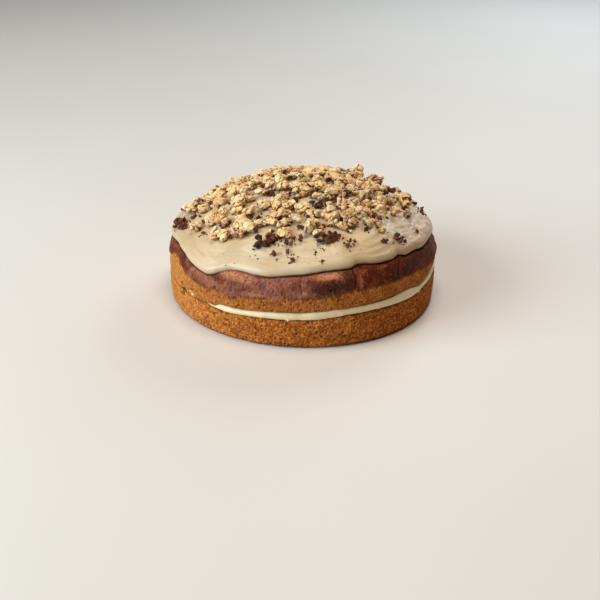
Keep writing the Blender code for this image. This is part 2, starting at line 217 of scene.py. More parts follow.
def outline(knots, counts, ring):
    """Radius or height at each ring, along a smooth line through the knots that never overshoots them."""
    knots = [np.asarray(knot, float) + 0 * ring for knot in knots]
    starts = np.concatenate([[0], np.cumsum(counts)])
    slopes = [(knots[i + 1] - knots[i]) / count for i, count in enumerate(counts)]
    turns = [slopes[0], *(knot_slope(*pair) for pair in zip(slopes, slopes[1:])), slopes[-1]]
    result = knots[0] * 1.0
    for i, count in enumerate(counts):
        t = (ring - starts[i]) / count
        value = curve(knots[i], knots[i + 1], turns[i], turns[i + 1], count, t)
        result = np.where((t > 0) & (t <= 1), value, result)
    return result


def side_radius(azimuth):
    a = np.radians(azimuth)
    return SIDE_RADIUS + 0.45 * np.cos(2 * a) + 0.3 * np.cos(3 * a - 1.0) - 0.25 * np.sin(a)


def spots(azimuth, radius, height):
    """Points as rows of x, y, z."""
    a = np.radians(azimuth)
    return np.stack([radius * np.sin(a), -radius * np.cos(a), height + 0 * a], axis=-1)


def from_middle(points):
    return np.hypot(points[:, 0], points[:, 1])


def away_from(azimuth, centre):
    return (np.asarray(azimuth, float) - centre + 180) % 360 - 180


def close_to(azimuth, centre, wide):
    """1 at an azimuth, fading to 0 some way past this many degrees."""
    return np.exp(-(away_from(azimuth, centre) / wide) ** 2)


def oval(points, azimuth, centre, height, wide, tall):
    """Squared distance from the middle of an oval place on the side, 1 at its rim."""
    return (away_from(azimuth, centre) / wide) ** 2 + ((points[:, 2] - height) / tall) ** 2


def turned(azimuth, ring, counts, radii, heights):
    """Points of a round form, from its radii and heights at the knots of its outline."""
    return spots(azimuth, outline(radii, counts, ring), outline(heights, counts, ring))


def lower_height(azimuth, radius):
    rim = around(LOWER_TOP, azimuth)
    return LOWER_MIDDLE + (rim - LOWER_MIDDLE) * np.minimum(1.0, radius / SIDE_RADIUS)


def filling_top(azimuth):
    return around(LOWER_TOP, azimuth) + GAP + around(FILLING_DEPTH, azimuth)


def filling_height(azimuth, radius):
    middle = LOWER_MIDDLE + GAP + FILLING_MIDDLE
    return middle + (filling_top(azimuth) - middle) * np.minimum(1.0, radius / SIDE_RADIUS)


def spline(before, start, end, after, t):
    return 0.5 * (2 * start + (end - before) * t + (2 * before - 5 * start + 4 * end - after) * t ** 2
                  + (3 * start - before - 3 * end + after) * t ** 3)


def shoulder_point(azimuth, place):
    """The upper sponge's outside. Place runs from 0 at its lower rim to 1 at the peak."""
    azimuth = np.asarray(azimuth, float)
    side = side_radius(azimuth)
    insets, heights = np.array(SHOULDER).T
    count = len(SHOULDER)

    def pair(k):
        inner = np.clip(k, 0, count - 1)
        radius = side - insets[inner]
        height = heights[inner] + 0.0
        radius = np.where(k < 0, side - insets[0] - k * (insets[0] - insets[1]), radius)
        height = np.where(k < 0, heights[0] + k * (heights[1] - heights[0]), height)
        radius = np.where(k == count, 0.0, np.where(k > count, insets[-1] - side, radius))
        height = np.where(k == count, SPONGE_PEAK, np.where(k > count, heights[-1], height))
        return radius, height

    where = np.minimum(place, 0.999999) * count
    i = np.floor(where).astype(int)
    t = where - i
    radii, levels = zip(*(pair(i + step) for step in (-1, 0, 1, 2)))
    radius = spline(*radii, t)
    height = spline(*levels, t)
    front = np.maximum(0.0, np.cos(np.radians(azimuth)))
    right = np.maximum(0.0, np.sin(np.radians(azimuth)))
    height = height + FRONT_RISE * front * smooth(40, 50, height) * smooth(76, 60, height)
    radius = radius - RIGHT_TUCK * right * smooth(36, 42, height) * smooth(70, 48, height)
    spot = spots(azimuth, radius, height)
    spot[..., 2] += TOP_SLOPE * spot[..., 0] * smooth(SLOPE_FROM, SLOPE_FULL, height)
    return spot


def shoulder_normal(azimuth, place):
    step = 0.002
    along = shoulder_point(azimuth, np.minimum(0.9999, place + step)) - shoulder_point(azimuth, place - step)
    a = np.radians(azimuth)
    round_it = np.stack([np.cos(a), np.sin(a), 0 * a], axis=-1)
    out = np.cross(round_it, along)
    return out / np.linalg.norm(out, axis=-1, keepdims=True)


def place_at_height(azimuth, height):
    """The place on the upper sponge's outside at a height, found by halving."""
    low = np.full_like(np.asarray(azimuth, float), LOWEST_PLACE)
    high = np.ones_like(low)
    for _ in range(22):
        middle = (low + high) / 2
        below = shoulder_point(azimuth, middle)[..., 2] < height
        low = np.where(below, middle, low)
        high = np.where(below, high, middle)
    return low


# ---------------------------------------------------------------- modelling helpers

def pick(item):
    """Selects this object alone and makes it active."""
    bpy.ops.object.select_all(action="DESELECT")
    bpy.context.view_layer.objects.active = item
    item.select_set(True)


def points_of(item):
    flat = np.empty(len(item.data.vertices) * 3, np.float64)
    item.data.vertices.foreach_get("co", flat)
    return flat.reshape(-1, 3) / MM


def set_points(item, points):
    item.data.vertices.foreach_set("co", (np.asarray(points) * MM).astype(np.float32).ravel())
    item.data.update()


def normals_of(item):
    flat = np.empty(len(item.data.vertices) * 3, np.float32)
    item.data.vertex_normals.foreach_get("vector", flat)
    return flat.reshape(-1, 3).astype(float)


def push_out(item, push):
    """Moves each point this far along its normal."""
    set_points(item, points_of(item) + normals_of(item) * push[:, None])


def keep_values(item, **values):
    """Stores named numbers for each point, for a material to read."""
    for name, numbers in values.items():
        layer = item.data.attributes.new(name, "FLOAT", "POINT")
        layer.data.foreach_set("value", np.asarray(numbers, np.float32))


def apply(item, kind, **settings):
    """Adds a modifier and applies it."""
    pick(item)
    modifier = item.modifiers.new(kind.lower(), kind)
    for name, value in settings.items():
        setattr(modifier, name, value)
    bpy.ops.object.modifier_apply(modifier=modifier.name)


def joined(name, pieces):
    """One object made of all the pieces."""
    bpy.ops.object.select_all(action="DESELECT")
    for piece in pieces:
        piece.select_set(True)
    bpy.context.view_layer.objects.active = pieces[0]
    bpy.ops.object.join()
    item = bpy.context.object
    item.name = name
    item.data.name = name
    return item


def turned_ball(name, sectors, rings, crowd=0.3):
    """A closed ball of sectors and rings, to be turned into a round form. Crowd puts more at the front."""
    sheet_end = 0.9999
    bpy.ops.object.select_all(action="DESELECT")
    bpy.ops.mesh.primitive_grid_add(x_subdivisions=sectors, y_subdivisions=rings, size=2)
    item = bpy.context.object
    item.name = name
    item.data.name = name
    # Roll the sheet up and close its seam and its two ends
    sheet = points_of(item) * MM
    turn = np.radians(180.0 * sheet[:, 0])
    rise = np.radians(90.0 * sheet[:, 1])
    flat = np.where(np.abs(sheet[:, 1]) > sheet_end, 0.0, np.cos(rise))
    turn = np.where(sheet[:, 0] > sheet_end, -math.pi, turn)
    ball = np.stack([flat * np.sin(turn), -flat * np.cos(turn), np.sin(rise)], axis=-1)
    set_points(item, ball / MM)
    bpy.ops.object.mode_set(mode="EDIT")
    bpy.ops.mesh.select_all(action="SELECT")
    bpy.ops.mesh.remove_doubles(threshold=0.000002)
    bpy.ops.mesh.normals_make_consistent(inside=False)
    bpy.ops.object.mode_set(mode="OBJECT")
    bpy.ops.object.shade_smooth()
    ball = points_of(item) * MM
    turn = np.arctan2(ball[:, 0], -ball[:, 1])
    azimuth = np.degrees(turn - crowd * np.sin(turn))
    ring = np.rint((np.arcsin(np.clip(ball[:, 2], -1, 1)) / math.pi + 0.5) * rings).astype(int)
    return item, azimuth, ring


# ---------------------------------------------------------------- lumps and pits

def chance(cell, salt):
    """A fixed number from 0 to 1 for each cell of a lattice."""
    mixed = cell[..., 0] * 374761393 + cell[..., 1] * 668265263 + cell[..., 2] * 1440662683 + salt * 974711
    mixed = mixed & 0xFFFFFFFF
    mixed = ((mixed ^ (mixed >> 13)) * 1274126177) & 0xFFFFFFFF
    return ((mixed ^ (mixed >> 16)) & 0xFFFF) / 65535.0


def waves(points, size, salt=0):
    """Smooth lumps about this wide, from -1 to 1."""
    where = np.asarray(points, float) / size + 31.7
    cell = np.floor(where).astype(np.int64)
    part = where - cell
    fade = part ** 3 * (part * (part * 6 - 15) + 10)
    total = np.zeros(len(where))
    for corner in np.ndindex(2, 2, 2):
        corner = np.array(corner)
        there = cell + corner
        turn = chance(there, salt) * math.tau
        rise = chance(there, salt + 91) * 2 - 1
        flat = np.sqrt(1 - rise ** 2)
        way = np.stack([flat * np.cos(turn), flat * np.sin(turn), rise], axis=-1)
        weight = np.prod(np.where(corner == 1, fade, 1 - fade), axis=-1)
        total += weight * np.sum(way * (part - corner), axis=-1)
    return 1.7 * total


def rough_waves(points, size, octaves, salt=0):
    """Lumps with finer lumps on them, from about -1 to 1."""
    total = np.zeros(len(points))
    for k in range(octaves):
        total += 0.5 ** k * waves(points, size / 2 ** k, salt + 7 * k)
    return total


def pits(points, size, wide, share, salt=0):
    """Scattered round pits, 1 in the middle of each and 0 between them."""
    where = np.asarray(points, float) / size + 17.3
    cell = np.floor(where).astype(np.int64)
    result = np.zeros(len(where))
    for step in np.ndindex(3, 3, 3):
        there = cell + np.array(step) - 1
        middle = there + np.stack([chance(there, salt + k) for k in (1, 2, 3)], axis=-1)
        reach = wide * (0.45 + chance(there, salt + 4))
        depth = 1 - np.linalg.norm(where - middle, axis=-1) / reach
        result = np.maximum(result, np.where(chance(there, salt + 5) < share, depth, 0))
    return np.clip(result * 1.4, 0, 1)


# ---------------------------------------------------------------- sponge layers

def add_crumb(item, shown, cover):
    """Open crumb: shallow lumps, pores and loose grains. Keeps the pores and grains for the material."""
    points = points_of(item)
    near = shown > 0.001
    some = points[near]
    pore, grain, lump = np.zeros((3, len(points)))
    pore[near] = np.maximum(pits(some, 2.9, 0.3, 0.5, 11), 0.8 * pits(some, 1.6, 0.38, 0.7, 29))
    grain[near] = 0.8 * waves(some, 1.9, 3) + 0.8 * waves(some, 3.6, 4)
    lump[near] = 0.3 * waves(some, 12, 5) + 0.16 * waves(some, 5, 6)
    open_share = 1 - cover
    push_out(item, (0.2 * grain * open_share + lump - 0.7 * pore * open_share) * shown)
    keep_values(item, pore=pore * shown * open_share, grain=np.clip(0.5 + 0.5 * grain, 0, 1))


def fair_share(points, azimuth):
    """How much painted light pales the side, most on the left where the light falls."""
    return np.clip(close_to(azimuth, PAINTED_LIGHT_SIDE, 32) * (1 + 0.6 * waves(points, 16, 9)), 0, 1)


def closed_share(azimuth):
    """1 on the left, where the two layers meet and the cream stays inside, 0 elsewhere."""
    return smooth(30, 20, np.abs(away_from(azimuth, CLOSED_SIDE)))


def torn_holes(points, azimuth):
    """How deep the torn holes are, and how strong the painted shade inside them is."""
    push, dark = np.zeros((2, len(points)))
    ragged = 1 + 0.5 * waves(points, 2.2, 61)
    for *place, depth in HOLES:
        hole = np.exp(-oval(points, azimuth, *place) * ragged)
        push += depth * hole
        dark = np.maximum(dark, smooth(0.25, 0.8, hole))
    return push, dark


def make_lower_sponge():
    counts = (3, 3, 3, 14, 15, 4, 3, 5)
    item, azimuth, ring = turned_ball("sponge_layer_lower", SPONGE_SECTORS, sum(counts))
    side = side_radius(azimuth)
    top = around(LOWER_TOP, azimuth)
    closed = closed_share(azimuth)
    radii = (0, BASE_RADIUS - 3, BASE_RADIUS - 0.4, side - 0.7, side + 0.1, side - 0.05,
             side - 0.7 + 0.55 * closed, side - 3 + 2.7 * closed, 0)
    heights = (0, 0, 0.3, 2.6, 10, top - 2.4, top - 0.5 + 0.4 * closed, top, LOWER_MIDDLE)
    set_points(item, turned(azimuth, ring, counts, radii, heights))
    points = points_of(item)
    radius = from_middle(points)
    # The foot and the top rim are a little ragged
    near_rim = smooth(RIM_START, WALL_FULL, radius)
    foot = smooth(3.0, 0.5, points[:, 2]) * near_rim
    rim = smooth(top - 2.2, top - 0.4, points[:, 2]) * near_rim
    rag = rough_waves(points * (1, 1, 0.2), 5, 3, 8)
    push_out(item, -0.7 * (foot + rim) * np.maximum(0, rag))
    shown = smooth(WALL_START, WALL_FULL, radius) * smooth(0.1, 1.2, points[:, 2])
    torn, painted_hole_shade = torn_holes(points, azimuth)
    push_out(item, -torn * shown)
    add_crumb(item, shown, 0 * shown)
    points = points_of(item)
    points[:, 2] = np.maximum(points[:, 2], 0.0)
    set_points(item, points)
    # Edge is painted shade along the foot, where the sponge meets the floor
    # The last value is painted light that pales the left side, where the light falls
    # Torn holds the painted shade inside the torn holes
    keep_values(item, torn=painted_hole_shade * shown, edge=smooth(2.4, 0.3, points[:, 2]),
                fair=fair_share(points, azimuth))
    return item


def crust_amount(points, azimuth):
    """How far the surface is browned, 0 golden to 1 crust, with a ragged lower line."""
    ragged = 1.0 * rough_waves(points, 8, 3, 21) + 1.1 * waves(points, 1.9, 22)
    return smooth(-1.3, 1.3, points[:, 2] - around(CRUST_LINE, azimuth) - ragged)


def crust_relief(points, azimuth, crust):
    """Wrinkles, a lip over the golden side, upright creases and torn holes, and the painted shade in the
    creases and holes.
    """
    height = points[:, 2]
    push = 0.34 * rough_waves(points * (1, 1, 1.8), 12, 3, 31) * crust
    push += 0.1 * rough_waves(points * (1, 1, 0.5), 2.6, 2, 33) * crust
    push += 0.35 * crust + 0.25 * np.exp(-((height - around(CRUST_LINE, azimuth) - 2) / 1.6) ** 2) * crust
    dark = np.zeros(len(points))
    inside = crust * smooth(40, 43, height)
    for centre, depth, width, lean in CREASES:
        bend = lean * (height - 46) + 0.25 * np.sin(height * 0.5 + centre)
        away = away_from(azimuth, centre + bend)
        cut = np.exp(-(away / width) ** 2) * inside
        lip = np.exp(-((away - 2.2 * width) / (1.2 * width)) ** 2) * inside
        push += depth * (0.7 * lip - cut)
        dark = np.maximum(dark, cut * min(1.0, 1.4 * depth))
    torn, painted_hole_shade = torn_holes(points, azimuth)
    return push - torn, np.maximum(dark, painted_hole_shade)


def make_upper_sponge():
    counts = (4, 3, 3, 3, 50, 8, 6)
    item, azimuth, ring = turned_ball("sponge_layer_upper", SPONGE_SECTORS, sum(counts))
    side = side_radius(azimuth)
    closed = closed_share(azimuth)
    low = filling_top(azimuth) + GAP * (1 - 2.1 * closed)
    edge = place_at_height(azimuth, around(ICING_EDGE, azimuth))
    start = place_at_height(azimuth, low + 2.4)
    # Underside, then the rim, then up the shoulder and over the top
    under = counts[:4]
    radii = (0, side - 12, side - 2.4 + 2.2 * closed, side - 1.0 + 0.9 * closed, side - 0.25 + 0.2 * closed)
    heights = (LOWER_MIDDLE + 2 * GAP + FILLING_MIDDLE, low, low + 0.1, low + 0.7, low + 2.4)
    inner = turned(azimuth, ring, under, radii, heights)
    first = sum(under)
    share = (ring - first) / counts[4]
    past = edge + 0.035
    place = np.where(share <= 1, start + (past - start) * share,
                     past + (1 - past) * (ring - first - counts[4]) / (counts[5] + counts[6]))
    outer = shoulder_point(azimuth, np.clip(place, LOWEST_PLACE, 1.0))
    set_points(item, np.where((ring > first)[:, None], outer, inner))
    points = points_of(item)
    crust = crust_amount(points, azimuth)
    shown = np.where(ring > first, smooth(edge + 0.03, edge, place),
                     smooth(WALL_START, WALL_FULL, from_middle(points)))
    push, dark = crust_relief(points, azimuth, crust)
    # A narrow shaded gap under the hanging edge of the icing
    below = np.linalg.norm(points - shoulder_point(azimuth, edge), axis=-1) * np.sign(edge - place)
    gap = np.exp(-((below - 0.5) / 0.8) ** 2) * around(ICING_LIFT, azimuth) * (ring > first)
    push_out(item, (push - 1.1 * gap) * shown)
    add_crumb(item, shown, 0.75 * crust)
    smear = np.zeros(len(points))
    ragged = 1 + 0.5 * waves(points, 1.8, 63)
    for bit in CREAM_BITS:
        smear = np.maximum(smear, np.exp(-oval(points, azimuth, *bit) * ragged))
    tone = 0.3 * rough_waves(points, 9, 3, 35)
    # The patches are toasted and charred places, painted highlights beside creases and painted shade on the
    # right side
    for *patch, amount in CRUST_PATCHES_AND_PAINTED_LIGHT:
        tone += amount * np.exp(-oval(points, azimuth, *patch))
    # Mauve and dusty bloom, with a painted sheen of sky light at the front
    bloom = around(BLOOM_AND_SHEEN, azimuth) + 0.35 * rough_waves(points, 14, 2, 36)
    # One value is painted light that pales the left side, where the light falls
    # The crease values are painted shade in the creases, the torn holes and the gap under the icing
    keep_values(item, cream=smooth(0.3, 0.6, smear), crust=crust, crease=np.maximum(dark, gap),
                fair=fair_share(points, azimuth), tone=np.clip(0.5 + 0.5 * tone, 0, 1),
                bloom=np.clip(bloom, 0, 1))
    # The crust's bumps stand no prouder than the solid parts
    low_corner, high_corner = (np.array(corner) / MM for corner in cad_box)
    set_points(item, np.clip(points_of(item), low_corner + BOX_MARGIN, high_corner - BOX_MARGIN))
    return item


# ---------------------------------------------------------------- filling

def make_filling():
    counts = (4, 4, 4, 5, 5, 4, 4, 4)
    item, azimuth, ring = turned_ball("cream_layer", 760, sum(counts))
    out = side_radius(azimuth) - 0.35 - around(FILLING_INSET, azimuth)
    low = around(LOWER_TOP, azimuth) + 0.05
    deep = around(FILLING_DEPTH, azimuth) + 0.5
    radii = (0, FILLING_FLAT, out - 1.6, out - 0.3, out + 0.1, out - 0.2, out - 1.6, FILLING_FLAT, 0)
    heights = (LOWER_MIDDLE + 0.1, lower_height(azimuth, FILLING_FLAT) + 0.1, low, low + 0.2 * deep,
               low + 0.5 * deep, low + 0.8 * deep, low + deep, filling_height(azimuth, FILLING_FLAT) + 0.1,
               LOWER_MIDDLE + 5)
    set_points(item, turned(azimuth, ring, counts, radii, heights))
    points = points_of(item)
    rim = smooth(RIM_START, WALL_FULL, from_middle(points))
    swell = 0.4 * waves(points * (1, 1, 0.6), 15, 41) + 0.16 * rough_waves(points, 5, 2, 42)
    drop = 0 * rim
    fall = 0 * rim
    for centre, wide, long in CREAM_DROPS:
        here = close_to(azimuth, centre, wide) * smooth(low + 0.6 * deep, low, points[:, 2]) * rim
        drop = drop + here
        fall = fall + long * here
    points = points + normals_of(item) * ((swell + 0.4 * drop) * rim)[:, None]
    points[:, 2] -= fall
    set_points(item, points)
    return item


# ---------------------------------------------------------------- icing

def icing_relief(points, azimuth, away):
    """Knife marks, a scooped corner and a soft fold, in millimetres out of the surface."""
    a = np.radians(azimuth)
    radius = from_middle(points)
    # Streaks run round the rim and drift across it
    drift = away + 4.0 * np.sin(2 * a + 0.6) + 1.5 * np.sin(5 * a)

    def marks(squeeze, across, shift, size, salt):
        return waves(np.stack([a * 100 / squeeze, across, 0 * a + shift], axis=-1), size, salt)

    swoop = marks(6, drift * 1.1, 40, 8.5, 52) * (1 - 0.75 * close_to(azimuth, 40, 24))
    fine = 0.38 * marks(11, drift, 0, 3.1, 51) + 0.15 * marks(7, drift, 80, 1.7, 57)
    relief = fine * smooth(60, 74, radius) + 0.7 * swoop * smooth(40, 70, radius)
    relief += 0.4 * waves(points, 19, 53)
    # Rough peaks where the knife was lifted, on the right
    rough = close_to(azimuth, ROUGH_CORNER, 22) * smooth(66, 80, radius)
    relief += 1.15 * rough_waves(points, 6, 3, 54) * rough
    relief += 0.2 * rough_waves(points, 3.4, 2, 55) * (0.4 + rough)
    relief *= smooth(1.5, 8, away)
    # The fold above the hanging front edge
    fold_line = 9.0 + 0.5 * away_from(azimuth, -20)
    relief += 0.8 * np.exp(-((away - fold_line) / 1.6) ** 2) * close_to(azimuth, -14, 8)
    # A shallow scoop beside the hanging corner
    relief -= 0.5 * close_to(azimuth, -31, 8) * np.exp(-((away - 7) / 5) ** 2)
    return relief


def make_icing():
    under_rings, outer_rings = 9, 103
    item, azimuth, ring = turned_ball("caramel_icing", 860, under_rings + outer_rings)
    edge = place_at_height(azimuth, around(ICING_EDGE, azimuth))
    # Underside: from the middle out to the hanging edge, just off the sponge
    place_in = 1 - (1 - edge) * np.clip(ring / under_rings, 0, 1) ** 0.6
    inner = shoulder_point(azimuth, place_in) + shoulder_normal(azimuth, place_in) * (GAP + 0.05)
    # Outside: finest at the rim
    t = np.clip((ring - under_rings) / outer_rings, 0, 1)
    place = edge + (1 - edge) * (0.30 * t + 0.70 * t ** 2.1)
    root = shoulder_point(azimuth, place)
    away = np.linalg.norm(root - shoulder_point(azimuth, edge), axis=-1)
    a = np.radians(azimuth)
    body = ICING_LIP + (ICING_THICKNESS - ICING_LIP) * smooth(4, 26, away)
    bulge = around(ICING_BULGE, azimuth)
    body = body + bulge * smooth(-2, 7, away) * smooth(40, 16, away)
    body = body + 0.35 * np.sin(5 * a + 9 * place) * smooth(4, 18, away) * smooth(1.0, 0.8, place)
    width = LIP_WIDTH * (1 + 0.2 * np.sin(3 * a + 1) + 0.12 * np.sin(8 * a)) - 0.6 * bulge
    end = np.minimum(1.0, away / width)
    thick = body * np.sqrt(np.maximum(0.0, 1 - (1 - end) ** 2))
    outer = root + shoulder_normal(azimuth, place) * (GAP + 0.15 + thick)[:, None]
    under = ring <= under_rings
    set_points(item, np.where(under[:, None], inner, outer))
    points = points_of(item)
    push_out(item, icing_relief(points, azimuth, away) * np.where(under, 0, 1) * smooth(0.995, 0.97, place))
    radius = from_middle(points)
    # Dry icing on the right corner, painted paler and cooler: partly its own colour, partly a painted sheen
    # of the back light
    dry = close_to(azimuth, ROUGH_CORNER + 2, 22) * smooth(62, 80, radius) * smooth(1, 6, away)
    tan = around(ICING_TAN, azimuth) * smooth(70, 88, radius) * (1 + 0.3 * waves(points, 18, 58))
    pale = 0.8 * np.exp(-(away_from(azimuth, 30) / 17) ** 2 - ((radius - 74) / 9) ** 2)
    keep_values(item, tan=np.clip(tan, 0, 1), pale=pale,
                dry=np.clip(dry * (0.8 + 0.9 * rough_waves(points, 5, 3, 56)), 0, 1))
    return item


# ---------------------------------------------------------------- walnuts and crumbs

# Nuts longer than this use the larger shapes
SMALL_WALNUT = 7.3
MOST_TRIES = 9000
# Nearer the middle than these, the scattered nuts may be taller, and the upper ones sit higher
INNER_HEAP, UPPER_HEAP = 55, 60
INNER_TALLEST, UPPER_TALLEST = 8.0, 5.0
# Small crumbs in the heap, specks over the whole top, and specks round each crumb that stands out
HEAP_CRUMBS, LOOSE_SPECKS, SPECKS_EACH = 260, 130, 4
# The scattered nuts, as (layer, count, lengths, room between two as a share of their lengths, reach)
HEAP_LAYERS = (
    (0, 88, (8.5, 13.5), 0.38, 0.97),
    (0, 84, (3.4, 7), 0.35, 1.0),
    (1, 32, (7.5, 12), 0.5, 0.84),
)
# Nuts that stand out, as (azimuth, distance from the middle, length, height)
NAMED_WALNUTS = (
    (-86, 84, 12, 7.5), (-65, 85, 10.5, 6), (-54.5, 71, 14, 7.5), (-49, 82, 10, 6.5), (-43, 79, 11, 7),
    (-38.5, 67, 13, 8.5), (-33, 70, 13, 8.5), (-37, 75.5, 11.5, 7), (-71, 50, 13.5, 7), (-95, 63, 9, 6),
    (-70, 67, 10, 7), (-58, 55, 14.5, 8.5), (-45, 54, 13, 7.5), (-42, 42, 14, 6.5), (-28, 38, 11, 7),
    (-22, 59, 11, 7), (-11, 67, 10.5, 6.5), (3, 62, 12, 8.5), (8, 67, 7.5, 5), (21, 52, 13.5, 8),
    (24, 63, 9.5, 6), (37, 52, 10.5, 7), (44, 55, 12, 7), (59, 63, 9, 6), (49, 69, 7, 5), (47, 74, 6.5, 5),
    (84, 63, 9.5, 6), (71, 70, 9, 6), (75, 77, 10, 6), (92, 66, 8, 5.5), (81, 35, 10, 6), (111, 42, 8, 5.5),
    (-1, 22, 11.5, 6.5), (17, 26, 9, 5.5), (28, 30, 9, 6), (39, 41, 10.5, 6.5), (-33, 14, 11, 6),
    (-31, 26, 8, 5), (81, 47, 10.5, 6.5), (61, 51, 9, 6), (-6, 52, 10.5, 7), (-3, 42, 9, 6),
    (-20, 48, 13, 7), (27, 40, 7, 5), (-67, 34, 9, 6), (-116, 40, 9.5, 6), (-103, 47, 8, 6),
    (-135, 27, 13, 6.5), (-141, 86, 9.5, 9), (-149, 79, 9, 5.5), (-156, 62, 12, 7), (-167, 52, 10, 8.5),
    (174, 50, 17, 6.5), (159, 56, 11, 6.5), (149, 76, 13, 13), (145, 73, 9, 7.5), (141, 86, 10, 9.5),
    (127, 91, 10, 6), (131.5, 73, 10.5, 9.5), (118, 91, 8.5, 5.5),
)
# Dark cake crumbs, as (azimuth, distance, size)
NAMED_CRUMBS = (
    (-79.5, 90.5, 10.5), (-76.5, 90.5, 7), (-73.5, 89.5, 5.2), (-109.5, 80, 6.2), (-98, 91.5, 6),
    (-87, 76.5, 7), (-80, 35, 6.5), (-54, 30, 7.5), (-42, 29.5, 5.5), (-29, 24.5, 6.5), (-10, 30, 6),
    (-52, 58, 4.5), (-42, 57.5, 5), (-36, 55, 5), (-29, 52.6, 5), (-18, 52, 6.5), (-3.4, 58.7, 6),
    (65, 33, 7), (64, 17, 5.5), (28, 35, 7), (103, 62, 6), (106, 74, 5), (83, 74, 6), (99, 90.5, 5.5),
    (91, 89, 5), (-51, 69, 4.5), (-77, 55, 5), (-78, 83, 5), (-58, 84, 3.6), (-20.5, 77.5, 10),
    (-15.5, 72, 7.5), (-17.5, 73, 7), (-23, 79.5, 6), (-7, 74.5, 6), (-7.5, 81, 4.4), (-13.5, 84.5, 4.4),
    (-4.7, 86.8, 4.2), (-2, 71.5, 6.2), (8.5, 73, 6.8), (13.5, 70.5, 8.5), (16.5, 70.5, 7), (19, 72, 5.5),
    (22.3, 77.8, 5), (25.4, 75, 3), (27.5, 76.5, 2.4), (6, 80.5, 2.2), (8.2, 88.3, 2.0), (44, 83, 6),
    (53, 84.5, 8), (39, 69, 4), (68, 88, 3.6), (115, 72, 7), (16, 37, 7), (-73, 64, 5), (-9, 8, 5.5),
    (150, 48, 6), (-150, 55, 7), (175, 74, 5), (-160, 30, 6), (130, 50, 5.5), (140, 88, 4),
)


def hollows(item, passes=2):
    """How deep each point lies in a crease between lobes, about -1 to 1."""
    points = points_of(item)
    ends = np.array([edge.vertices[:] for edge in item.data.edges])
    count = np.bincount(ends.ravel(), minlength=len(points)).astype(float)
    length = np.linalg.norm(points[ends[:, 0]] - points[ends[:, 1]], axis=-1).mean()

    def beside(values):
        total = np.zeros_like(values)
        np.add.at(total, ends[:, 0], values[ends[:, 1]])
        np.add.at(total, ends[:, 1], values[ends[:, 0]])
        return (total.T / np.maximum(count, 1)).T

    hollow = np.sum((beside(points) - points) * normals_of(item), axis=-1) / length
    for _ in range(passes):
        hollow = 0.5 * hollow + 0.5 * beside(hollow)
    return hollow


def walnut_lobes(rng, chunk):
    """Middles and radii of the balls that a piece is built from."""
    lobes = []
    spot = Vector((0, 0, 0))
    heading = Vector((1, 0, 0))
    for _ in range(rng.choice((2, 2, 3, 3))):
        radius = rng.uniform(0.24, 0.32) if chunk else rng.uniform(0.19, 0.28)
        lobes.append((spot.copy(), radius))
        for side in (-1, 1):
            if rng.random() < (0.5 if chunk else 0.85):
                out = Vector((rng.uniform(-0.6, 0.6), side, rng.uniform(-0.3, 0.9))).normalized()
                beside = spot + out * radius * rng.uniform(0.8, 1.15)
                lobes.append((beside, radius * rng.uniform(0.5, 0.8)))
        turn = Vector((0, rng.uniform(-0.9, 0.9), rng.uniform(-0.45, 0.45)))
        heading = (heading + turn).normalized()
        spot = spot + heading * radius * rng.uniform(1.0, 1.3)
    return lobes


def walnut_shape(name, seed, voxel):
    """One chopped piece of walnut, about 1 unit long: lobed with folds, or a blunt chunk of the meat."""
    rng = random.Random(seed)
    bpy.ops.object.select_all(action="DESELECT")
    chunk = rng.random() < 0.42
    balls = []
    for centre, radius in walnut_lobes(rng, chunk):
        bpy.ops.mesh.primitive_ico_sphere_add(subdivisions=2, radius=radius, location=centre)
        balls.append(bpy.context.object)
    item = joined(name, balls)
    pick(item)
    bpy.ops.object.transform_apply(location=True, rotation=True, scale=True)
    apply(item, "REMESH", mode="VOXEL", voxel_size=voxel)
    apply(item, "SMOOTH", factor=0.5, iterations=2)
    pick(item)
    bpy.ops.object.shade_smooth()
    points = points_of(item) * MM
    # Rounded folds between narrow valleys, as on the nut's skin, and fewer of them on a chunk
    fold = np.abs(waves(points + seed, 0.44 if chunk else 0.32, 71))
    valley = smooth(0.19, 0.0, fold)
    push = 0.14 * np.minimum(fold, 0.4) - 0.075 * valley + 0.025 * waves(points + seed, 0.18, 72)
    push = push + 0.1 * waves(points + seed, 0.46, 74)
    points = points + normals_of(item) * push[:, None]
    # Broken faces, then fine relief over everything
    flesh = np.zeros(len(points))
    middle = (points.max(axis=0) + points.min(axis=0)) / 2
    reach = np.ptp(points, axis=0).max() / 2
    for _ in range(rng.choice((3, 4, 5)) if chunk else rng.choice((1, 1, 2))):
        way = Vector((rng.uniform(-0.9, 0.9), rng.uniform(-1, 1), rng.uniform(-0.3, 1))).normalized()
        over = (points - middle) @ np.array(way) - reach * rng.uniform(0.3, 0.55)
        over = over - 0.05 * waves(points + seed, 0.3, 73)
        points = points - np.maximum(over, 0)[:, None] * np.array(way) * 0.85
        flesh = np.maximum(flesh, smooth(0.0, 0.03, over))
    set_points(item, points / MM)
    points = points + normals_of(item) * (0.03 * waves(points + seed, 0.21, 75))[:, None]
    low, high = points.min(axis=0), points.max(axis=0)
    points = (points - (low + high) / 2) / (high - low).max()
    set_points(item, points / MM)
    # Deep marks the creases and valleys, which the walnut finish paints in shade
    # High marks the ridges, which the walnut finish paints with a highlight
    keep_values(item, flesh=flesh, high=smooth(0.03, -0.2, hollows(item, 1)),
                deep=np.maximum(smooth(0.02, 0.26, hollows(item)), 0.8 * valley * (1 - flesh)))
    return item


